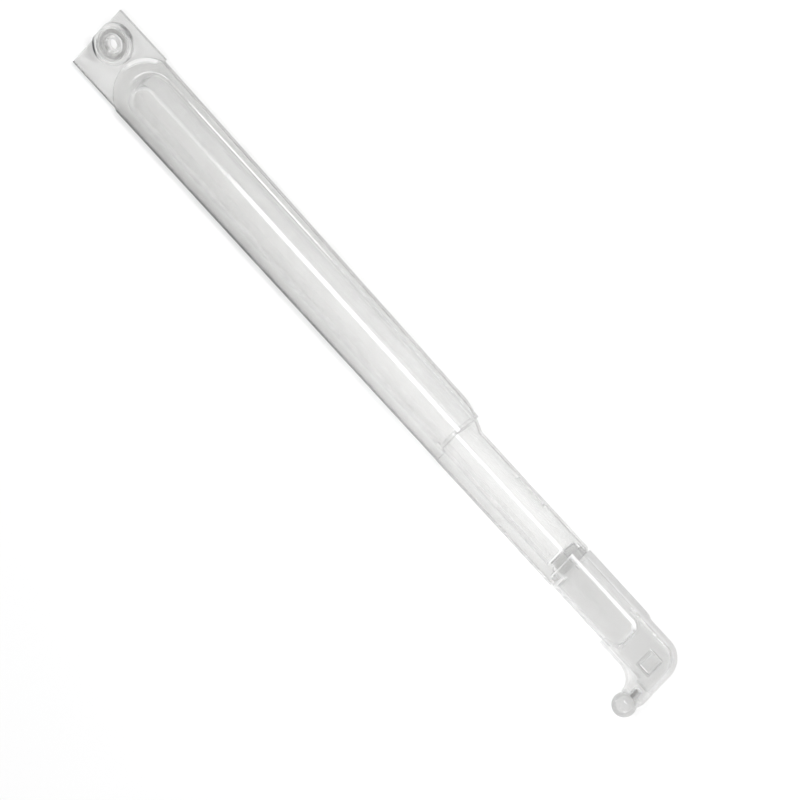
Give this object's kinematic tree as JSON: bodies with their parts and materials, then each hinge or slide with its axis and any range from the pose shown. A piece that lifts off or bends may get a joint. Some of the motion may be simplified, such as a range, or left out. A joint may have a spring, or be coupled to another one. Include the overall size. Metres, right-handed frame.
{
  "type": "clear moulded pivot arm",
  "caption": "Slim clear plastic arm: flat head with a pivot eye, stepped hollow covers on a back plate, and a tail elbow with a ball-ended lug.",
  "frame": {"origin": "axis of the pivot eye in the head, at the plane of the flat back", "axes": "+Z out of the front face along the eye's axis, +X along the arm from the head to the tail, +Y away from the side that the lug points to"},
  "size_m": [0.2906, 0.0388, 0.011],
  "materials": {
    "clear_shell": "polished clear moulding",
    "clear_insert": "polished clear moulding"
  },
  "bodies": {
    "arm": {"back_plate": "clear_shell", "upper_cover": "clear_shell", "lower_cover": "clear_shell", "tail_tube": "clear_shell", "elbow_plug": "clear_insert", "ball_end": "clear_insert"},
    "bush": {"pivot_bush": "clear_insert", "bush_ring": "clear_insert"}
  },
  "joints": [
    {"name": "bush_turn", "type": "hinge", "parent": "arm", "child": "bush", "pos_m": [0, 0, 0.0025], "axis": [0, 0, 1], "continuous": true}
  ]
}
